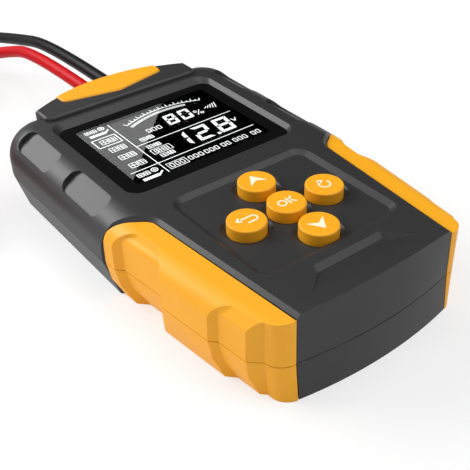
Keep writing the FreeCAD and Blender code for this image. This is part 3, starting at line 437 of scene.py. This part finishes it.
# symbol at each end of that column: a thick bar with a raised tip, a double ring over it and a short word
symbol_y = (44.0, 9.4)
bar_x = (-23.4, -17.2)
bar_width = 1.5
tip_start = (-17.4, -0.2)
tip_end = (-15.4, 1.4)
tip_width = 0.7
ring_x = -17.2
ring_lift = 3.4
outer_ring = {"radius": 1.1, "width": 0.4, "count": 12}
inner_ring = {"radius": 0.4, "width": 0.3, "count": 8}
symbol_word_x = (-23.6, -21.2)
symbol_word_lift = 2.2
symbol_word_size = (1.9, 1.9)
for y in symbol_y:
    lit.append(flat_bar((bar_x[0], y), (bar_x[1], y), bar_width, lit_z))
    lit.append(flat_bar((tip_start[0], y + tip_start[1]), (tip_end[0], y + tip_end[1]), tip_width, lit_z))
    for line in (outer_ring, inner_ring):
        lit += ring((ring_x, y + ring_lift), height=lit_z, **line)
    for x in symbol_word_x:
        lit += mark(x, y + symbol_word_lift, *symbol_word_size, 1)

# captions beside the two numbers
caption_places = [(-10.6, 30.6), (-11.4, 25.0), (-10.6, 17.6)]
caption_size = (2.2, 2.0)
caption_step = 2.8
framed_size = (2.2, 1.9)
framed_places = [(-10.8, 21.3), (-7.8, 21.3)]
caption_frame = (-11.9, 20.6, -4.4, 23.9)
letter_x = (-5.4, -3.3, -1.2)
letter_y = 34.4
letter_size = (1.3, 2.2)
letter_width = 0.32
for x, y in caption_places:
    lit += mark(x, y, *caption_size, 1)
    lit += mark(x + caption_step, y, *caption_size, 2)
lit += frame_of(*caption_frame, word_width, lit_z)
for x, y in framed_places:
    lit += mark(x, y, *framed_size, 1)
for x in letter_x:
    lit += frame_of(x, letter_y, x + letter_size[0], letter_y + letter_size[1], letter_width, lit_z)

# row of choices along the front, the first one framed
row_words = [(-11.7, 3), (-4.3, 3), (2.2, 3), (9.1, 2), (14.2, 3), (22.0, 2)]
row_step = 2.05
row_letter = (1.2, 2.1)
row_y = 10.4
row_width = 0.3
row_frame = (-12.6, 9.6, -5.4, 13.2)
lit += frame_of(*row_frame, word_width, lit_z)
for word_x, count in row_words:
    for i in range(count):
        x = word_x + row_step * i
        lit += frame_of(x, row_y, x + row_letter[0], row_y + row_letter[1], row_width, lit_z)

lit_marks = joined(lit, "lcd_lit_marks", lit_thickness)
# the backlight shines through the marks: an even white with no shading, a little weaker here and there
glow = new_material("LCD_white_backlit")
glow_patch = 12 * mm
glow_place = add_node(glow.node_tree, "TexCoord", {}).outputs["Object"]
glow_noise = add_node(glow.node_tree, "TexNoise", {"Vector": glow_place, "Scale": 1 / glow_patch})
glow_colour = add_node(glow.node_tree, "Mix", {
    0: glow_noise.outputs[0], 6: srgb("#f4f6f6"), 7: srgb("#e9ecec")}, data_type="RGBA")
glow_surface = add_node(glow.node_tree, "BsdfPrincipled", {
    "Base Color": glow_colour.outputs[2], "Roughness": 0.4,
    "Emission Color": glow_colour.outputs[2], "Emission Strength": 0.8})
add_node(glow.node_tree, "OutputMaterial", {"Surface": glow_surface.outputs[0]})
fit(lit_marks, glow, "tester", "backlight_plate")


# Upper half of the case, moulded like the lower one. It has the window seat, the sunk keypad field,
# a sloping nail recess at the front and four shallow scoops in its shoulders.

upper_edge = 0.4 * mm
upper_shell = merged_copy("upper_shell")
round_edges(upper_shell, upper_edge)
fit(upper_shell, charcoal, "tester", "dark_plastic", "upper_shell")


# Window: polished clear acrylic on a foam gasket. A matte black border is printed on it, round the lit
# field of the LCD and down its edges.

# cut foam is porous and swallows the light
foam = grained("black_foam_cut", "#1c1c1c", "#141414",
               roughness=0.9, grain=0.5 * mm, relief=0.05 * mm)
paint(foam, "window_gasket")
window = merged_copy("display_window")
# polished acrylic mirrors the studio sharply, and shows the display through it
acrylic = new_material("clear_acrylic_polished")
haze_patch = 6 * mm
acrylic_place = add_node(acrylic.node_tree, "TexCoord", {}).outputs["Object"]
acrylic_haze = add_node(acrylic.node_tree, "TexNoise", {"Vector": acrylic_place, "Scale": 1 / haze_patch})
acrylic_rough = add_node(acrylic.node_tree, "MapRange", {0: acrylic_haze.outputs[0], 3: 0.0, 4: 0.02})
acrylic_surface = add_node(acrylic.node_tree, "BsdfPrincipled", {
    "Base Color": srgb("#fbfcfc"), "Roughness": acrylic_rough.outputs[0],
    "IOR": 1.49, "Transmission Weight": 1.0})
add_node(acrylic.node_tree, "OutputMaterial", {"Surface": acrylic_surface.outputs[0]})
fit(window, acrylic, "tester", "window", "display_window")

window_low, window_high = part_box("display_window")
window_corner = 3.8 * mm
view_low = Vector((-26.74, 7.15)) * mm
view_high = Vector((26.74, 48.45)) * mm
view_corner = 1.2 * mm
view_margin = 1.0 * mm     # the border's outer rim lies at least this far outside the lit field
print_thickness = 0.03 * mm
print_gap = 0.05 * mm


def rounded_outline(low, high, radius, height):
    """Closed line round a rectangle with rounded corners."""
    bpy.ops.object.select_all(action="DESELECT")
    middle = (low + high) / 2
    bpy.ops.mesh.primitive_plane_add(size=1, location=(middle.x, middle.y, height))
    outline = bpy.context.object
    outline.scale = (high.x - low.x, high.y - low.y, 1)
    bpy.ops.object.transform_apply()
    bpy.ops.object.mode_set(mode="EDIT")
    bpy.ops.mesh.select_all(action="SELECT")
    bpy.ops.mesh.bevel(offset=radius, segments=8, affect="VERTICES")
    bpy.ops.mesh.select_all(action="SELECT")
    bpy.ops.mesh.delete(type="ONLY_FACE")
    bpy.ops.object.mode_set(mode="OBJECT")
    return outline


reach = Vector((print_gap, print_gap))
print_z = window_high.z + print_gap
inner_line = rounded_outline(view_low, view_high, view_corner, print_z)
border = rounded_outline(window_low.xy - reach, window_high.xy + reach, window_corner + print_gap, print_z)
border.name = "window_border_print"
inner_line.select_set(True)
bpy.ops.object.join()
bpy.ops.object.mode_set(mode="EDIT")
bpy.ops.mesh.select_all(action="SELECT")
bpy.ops.mesh.bridge_edge_loops()
bpy.ops.mesh.select_all(action="DESELECT")
bpy.ops.object.mode_set(mode="OBJECT")
for vertex in border.data.vertices:
    beside = abs(vertex.co.x) > view_high.x + view_margin
    beyond = not view_low.y - view_margin < vertex.co.y < view_high.y + view_margin
    vertex.select = beside or beyond
bpy.ops.object.mode_set(mode="EDIT")
bpy.ops.mesh.extrude_edges_move(TRANSFORM_OT_translate={"value": (0, 0, window_low.z - window_high.z)})
bpy.ops.mesh.select_all(action="SELECT")
bpy.ops.mesh.normals_make_consistent(inside=False)
bpy.ops.object.mode_set(mode="OBJECT")
thickened(border, print_thickness, -1)
centred(border)
# screen-printed ink lies flat and matte, so the border stays black beside the shiny window
border_ink = grained("black_ink_screen_printed", "#070708", "#050505",
                     roughness=0.6, grain=0.4 * mm, relief=0.002 * mm, gloss=0.04)
fit(border, border_ink, "tester", "window")


# Five keys, moulded in orange with a flat crown, each on the plunger of its switch. Their marks are
# printed in cream: two arrowheads, a return arrow, a ring arrow and the letters of the middle key.

# smooth moulded caps: clean orange with a soft, low sheen
key_plastic = grained("orange_ABS_moulded", "#f3aa20", "#efa31a",
                      roughness=0.42, grain=0.4 * mm, relief=0.008 * mm, gloss=0.3)
# moulded nylon is a plain satin black
switch_plastic = grained("black_nylon_moulded", "#222224", "#1a1a1b",
                         roughness=0.5, grain=0.3 * mm, relief=0.01 * mm)
# pad-printed ink is thin and matte, so the marks read as flat cream
cream_ink = grained("cream_ink_pad_printed", "#fff3d6", "#faeccb",
                    roughness=0.5, grain=0.3 * mm, relief=0.004 * mm)
ink_thickness = 0.03 * mm
key_edge = 0.12 * mm
arrow_lift = 0.6
line_width = 0.6


def arrowhead(x, y, way, height):
    """Arrowhead with a notched back. way is 1 for up and -1 for down."""
    corners = [(0, 2.9), (-3.1, -2.0), (0, -0.3), (3.1, -2.0)]
    return [plate([(x + way * u, y + way * v) for u, v in corners], height)]


def arrow_up(x, y, height):
    return arrowhead(x, y + arrow_lift, 1, height)


def arrow_down(x, y, height):
    return arrowhead(x, y, -1, height)


def return_arrow(x, y, height):
    """Line that turns back at its right end, with an arrowhead at the left end of its upper run."""
    upper = y + 0.9
    lower = y - 1.5
    right = x + 2.2
    head_back = x - 1.7
    head_half = 1.3
    bars = [flat_bar((x - 2.0, upper), (right, upper), line_width, height),
            flat_bar((x - 0.6, lower), (right, lower), line_width, height)]
    bend = (right, (upper + lower) / 2)
    bars += ring(bend, (upper - lower) / 2, line_width, height, count=10, start=0, sweep=180)
    head = [(head_back, upper + head_half), (x - 3.5, upper), (head_back, upper - head_half)]
    bars.append(plate(head, height))
    return bars


def ring_arrow(x, y, height):
    """Open ring with an arrowhead at its end."""
    bars = ring((x, y), 1.8, line_width, height, count=20, start=60, sweep=285)
    bars.append(plate([(x - 1.1, y + 2.9), (x - 0.9, y + 0.7), (x + 1.0, y + 1.9)], height))
    return bars


def letters_of_ok(x, y, height):
    """A round letter of short bars, and one of three straight strokes."""
    stem = x + 0.6
    right = x + 2.6
    half_height = 1.6
    bars = ring((x - 1.7, y), 1.3, line_width, height, count=16)
    bars.append(flat_bar((stem, y - half_height), (stem, y + half_height), line_width, height))
    bars.append(flat_bar((x + 0.8, y - 0.2), (right, y + half_height), line_width, height))
    bars.append(flat_bar((x + 1.2, y + 0.2), (right, y - half_height), line_width, height))
    return bars


key_marks = {
    "up": arrow_up,
    "down": arrow_down,
    "left": return_arrow,
    "right": ring_arrow,
    "ok": letters_of_ok,
}
for name, draw in key_marks.items():
    body = "key_" + name
    cap = merged_copy(body)
    round_edges(cap, key_edge)
    fit(cap, key_plastic, body, "orange_key", body)
    paint(switch_plastic, "plunger_" + name)
    low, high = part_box(body)
    centre = (low + high) / 2 / mm
    printed = joined(draw(centre.x, centre.y, high.z), body + "_mark", ink_thickness)
    fit(printed, cream_ink, body, "white_plastic")


# Case screws, driven from below into posts of the upper half: zinc-plated steel with a punched cross
# recess in the head.

case_screws = merged_copy("case_screws")
screw_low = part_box("case_screws")[0]
recess_depth = 1.1 * mm
recess_length = 3.2 * mm
recess_width = 0.8 * mm
head_room = 8 * mm         # the rim points of one head lie closer together than this
flat_error = 0.01 * mm
screw_edge = 0.1 * mm
rims = []
for vertex in case_screws.data.vertices:
    if abs(vertex.co.z - screw_low.z) < flat_error:
        spot = vertex.co.xy
        near = [rim for rim in rims if (rim[0] - spot).length < head_room]
        if near:
            near[0].append(spot)
        else:
            rims.append([spot])
cutters = []
for rim in rims:
    centre = sum(rim, Vector((0, 0))) / len(rim)
    for length, width in ((recess_length, recess_width), (recess_width, recess_length)):
        bpy.ops.mesh.primitive_cube_add(size=1, location=(centre.x, centre.y, screw_low.z))
        cutter = bpy.context.object
        cutter.scale = (length, width, 2 * recess_depth)
        bpy.ops.object.transform_apply()
        cutters.append(cutter)
for cutter in cutters:
    pick(case_screws)
    bpy.ops.object.modifier_add(type="BOOLEAN")
    case_screws.modifiers[-1].object = cutter
    bpy.ops.object.modifier_apply(modifier=case_screws.modifiers[-1].name)
    bpy.data.objects.remove(cutter)
round_edges(case_screws, screw_edge)
fit(case_screws, zinc_steel, "tester", "steel", "case_screws")


# Side grips: soft orange rubber in an upper and a lower half, moulded with two finger holds a side.
# Their rims are rounded, as soft rubber is, and the folds at the feet of the holds stay crisp.

# Moulded rubber has a dry, velvety face: full orange in the light, and only a faint wide highlight.
grip_rubber = grained("orange_TPE_moulded", "#f2aa1e", "#eea318",
                      roughness=0.46, grain=0.5 * mm, relief=0.012 * mm, gloss=0.3)
grip_edge = 0.7 * mm
for side in ("left", "right"):
    for half in ("upper", "lower"):
        grip = side + "_grip_" + half
        skin = merged_copy(grip)
        round_edges(skin, grip_edge, segments=3)
        fit(skin, grip_rubber, "tester", "orange_rubber", grip)


# End bumper: the same orange rubber as the grips, moulded in one piece with a hole for each lead.
# It is let into the hump of the case, which holds it.

bumper_edge = 0.5 * mm
bumper = merged_copy("end_bumper")
round_edges(bumper, bumper_edge, segments=3)
fit(bumper, grip_rubber, "tester", "orange_rubber", "end_bumper")


# Two leads with soft PVC jackets, red and black. Each leaves the bumper, sinks to the table and lies in
# a tied coil of two layers, and its far end is crimped into a clamp.

# sizes of the leads and places of their routes are in millimetres
lead_diameter = 5.0
coil_step = 5.6
coil_low_z = 3.7
turns_in = 1.5
turns_climb = 0.5
turns_out = 1.25
points_a_turn = 24
# moulded nylon straps have a plain satin face
tie_nylon = grained("black_nylon_strap", "#2a2a2b", "#202021",
                    roughness=0.45, grain=0.5 * mm, relief=0.02 * mm)


def coil_points(centre, outer_r):
    """Turns that spiral in, climb to a second layer and spiral out again."""
    points = []
    for i in range(round((turns_in + turns_climb + turns_out) * points_a_turn) + 1):
        turn = i / points_a_turn
        angle = math.pi / 2 + 2 * math.pi * turn
        climb = min(max((turn - turns_in) / turns_climb, 0), 1)
        dip = turns_climb * climb * (1 - climb)
        r = outer_r - coil_step * (min(turn, turns_in) + dip - max(turn - turns_in - turns_climb, 0))
        z = coil_low_z + coil_step * (1 - math.cos(math.pi * climb)) / 2
        points.append((centre[0] + r * math.cos(angle), centre[1] + r * math.sin(angle), z))
    return points


# extruded PVC is smooth and deep in colour, and a soft line of light runs along it
leads = {
    "red": {
        "route": [(-4.5, 74, 25), (-4.5, 126, 25), (-7, 152, 17), (-14, 176, 7.4),
                  (-30, 192, 3.7), (-50, 192, 3.7)],
        "coil": (-55, 160),
        "coil_r": 32,
        "tail": 43,
        "length": 0.745,
        "jacket": grained("red_PVC_extruded", "#c40814", "#b60610",
                          roughness=0.4, grain=1.2 * mm, relief=0.02 * mm, gloss=0.1),
    },
    "black": {
        "route": [(4.5, 74, 25), (4.5, 128, 25), (3, 162, 17), (-3.5, 196, 9), (-16, 228, 5),
                  (-38, 257.5, 3.7), (-62, 257.5, 3.7)],
        "coil": (-67, 228),
        "coil_r": 29.5,
        "tail": 31,
        "length": 0.751,
        "jacket": grained("black_PVC_extruded", "#101011", "#0c0c0d",
                          roughness=0.4, grain=1.2 * mm, relief=0.02 * mm, gloss=0.1),
    },
}
for colour, lead in leads.items():
    paint(lead["jacket"], colour + "_inner_lead")
    paint(tie_nylon, colour + "_coil_tie")
    turns = coil_points(lead["coil"], lead["coil_r"])
    end = turns[-1]
    points = lead["route"] + turns + [(end[0], end[1] - lead["tail"] / 2, end[2]),
                                      (end[0], end[1] - lead["tail"], end[2])]
    curve = bpy.data.curves.new(colour + "_lead_cord", "CURVE")
    curve.dimensions = "3D"
    curve.resolution_u = 10
    spline = curve.splines.new("NURBS")
    spline.points.add(len(points) - 1)
    for point, place in zip(spline.points, points):
        point.co = (place[0] * mm, place[1] * mm, place[2] * mm, 1)
    spline.order_u = 3
    spline.use_endpoint_u = True
    curve.bevel_depth = lead_diameter / 2 * mm
    curve.bevel_resolution = 6
    curve.use_fill_caps = True
    cord = bpy.data.objects.new(colour + "_lead_cord", curve)
    bpy.context.scene.collection.objects.link(cord)
    fit(cord, lead["jacket"], "tester", colour + "_lead", colour + "_lead", colour + "_lead_coil")
    lead["cord"] = cord


# Two spring clamps, one a lead: moulded arms on a steel pin, copper-plated jaws with teeth, a coiled
# spring between the handles and a tinned sleeve crimped round the lead.

# moulded polypropylene: strong colour under a waxy, blurred shine
clamp_plastics = {
    "red": grained("red_polypropylene_moulded", "#c81f28", "#b91a23",
                   roughness=0.42, grain=0.6 * mm, relief=0.02 * mm),
    "black": grained("black_polypropylene_moulded", "#242426", "#1c1c1e",
                     roughness=0.42, grain=0.6 * mm, relief=0.02 * mm),
}
# drawn wire, oiled: darker than the plating, with a sharper shine
spring_steel = metal("spring_steel_drawn_oiled", "#8f9296", "#777a7f", roughness=0.3, scratch=0.5 * mm)
arm_edge = 0.35 * mm
contact_edge = 0.12 * mm
for colour, plastic in clamp_plastics.items():
    clamp = colour + "_clamp_"
    jaw_body = colour + "_clamp_jaw"
    for arm, body in (("fixed_arm", "tester"), ("moving_arm", jaw_body)):
        skin = merged_copy(clamp + arm)
        round_edges(skin, arm_edge)
        fit(skin, plastic, body, colour + "_plastic", clamp + arm)
    for contact, body in (("fixed_contact", "tester"), ("moving_contact", jaw_body)):
        skin = merged_copy(clamp + contact)
        round_edges(skin, contact_edge)
        fit(skin, copper_plate, body, "copper", clamp + contact)
    paint(zinc_steel, clamp + "pivot_pin", clamp + "crimp")
    paint(spring_steel, clamp + "spring")
    lead = leads[colour]


# Studio: a white paper floor that keeps the shadow, three soft boxes, even light all round, two black
# cards behind and on the right that keep the window and the top dark, and the camera of the photograph.

floor_size = 1.8
bpy.ops.object.select_all(action="DESELECT")
bpy.ops.mesh.primitive_plane_add(size=floor_size)
floor = bpy.context.object
floor.name = "studio_floor"
# matte paper shows no highlight, only the shadow, and where no shadow falls it is the white background
paper = new_material("white_paper_matte")
paper_glow_share = 0.6


def background_rays(tree):
    """1 for the rays that show the background: seen, mirrored or through glass."""
    rays = add_node(tree, "LightPath", {})
    mirrored = add_node(tree, "Math", {
        0: rays.outputs["Is Glossy Ray"], 1: rays.outputs["Is Transmission Ray"]}, operation="MAXIMUM")
    shown = add_node(tree, "Math", {0: rays.outputs["Is Camera Ray"], 1: mirrored.outputs[0]},
                     operation="MAXIMUM")
    return shown.outputs[0]


paper_matte = add_node(paper.node_tree, "BsdfDiffuse", {"Color": srgb("#fafafa")})
paper_glow = add_node(paper.node_tree, "Emission", {"Color": srgb("#ffffff"), "Strength": 1.0})
paper_share = add_node(paper.node_tree, "Math", {0: background_rays(paper.node_tree), 1: paper_glow_share},
                       operation="MULTIPLY")
paper_mix = add_node(paper.node_tree, "MixShader", {
    0: paper_share.outputs[0], 1: paper_matte.outputs[0], 2: paper_glow.outputs[0]})
add_node(paper.node_tree, "OutputMaterial", {"Surface": paper_mix.outputs[0]})
floor.data.materials.append(paper)

# pressed felt gives nothing back, so what mirrors a card stays dark
felt = grained("black_felt_pressed", "#030303", "#020202",
               roughness=0.95, grain=2 * mm, relief=0.1 * mm, gloss=0.0)
cards = {
    "side_card": [(614, 711, 69), (63, 587, 833), (735, -85, 833), (1073, 253, 69)],
    "rear_card": [(-700, 950, 60), (640, 800, 60), (560, 800, 460), (-700, 950, 480)],
}
for name, corners in cards.items():
    card = plate([corner[:2] for corner in corners], 0)
    card.name = name
    for vertex, corner in zip(card.data.vertices, corners):
        vertex.co.z = corner[2] * mm
    card.visible_camera = False
    card.data.materials.append(felt)

world = bpy.data.worlds.new("studio")
world.use_nodes = True
bpy.context.scene.world = world
sky = world.node_tree
sky.nodes.clear()
sky_light = 0.45
sky_seen = 1.0
level = add_node(sky, "MapRange", {0: background_rays(sky), 3: sky_light, 4: sky_seen})
light = add_node(sky, "Background", {"Color": srgb("#ffffff"), "Strength": level.outputs[0]})
add_node(sky, "OutputWorld", {"Surface": light.outputs[0]})


lamp_target = Vector((0, 0.02, 0.02))


def soft_box(name, place, width, height, power):
    """Area lamp that faces the object. It lights and is mirrored, and the camera doesn't see it."""
    lamp = bpy.data.lights.new(name, "AREA")
    lamp.shape = "RECTANGLE"
    lamp.size = width
    lamp.size_y = height
    lamp.energy = power
    holder = bpy.data.objects.new(name, lamp)
    bpy.context.scene.collection.objects.link(holder)
    holder.location = place
    holder.rotation_euler = (lamp_target - Vector(place)).to_track_quat("-Z", "Y").to_euler()
    holder.visible_camera = False


soft_box("rear_soft_box", place=(-0.45, 0.745, 0.535), width=0.84, height=0.4, power=11.0)
soft_box("top_soft_box", place=(0.3, 0.15, 1.05), width=0.6, height=0.6, power=2.8)
soft_box("front_soft_box", place=(0.5, -0.55, 1.05), width=0.6, height=0.6, power=4.0)

bpy.context.scene.view_settings.view_transform = "Standard"
camera = bpy.data.cameras.new("camera")
camera.sensor_width = 36
camera.lens = 61.75
camera.clip_start = 0.01
eye = bpy.data.objects.new("camera", camera)
bpy.context.scene.collection.objects.link(eye)
# its place and angles were fitted to the edges of the case in the photograph
eye_place = Vector((-130.04, -180.63, 164.585)) * mm
eye_tilt = math.radians(53.39)
eye_roll = math.radians(0.9)
eye_turn = math.radians(-37.51)
eye.matrix_world = Matrix.LocRotScale(eye_place, Euler((eye_tilt, eye_roll, eye_turn)), None)
bpy.context.scene.camera = eye
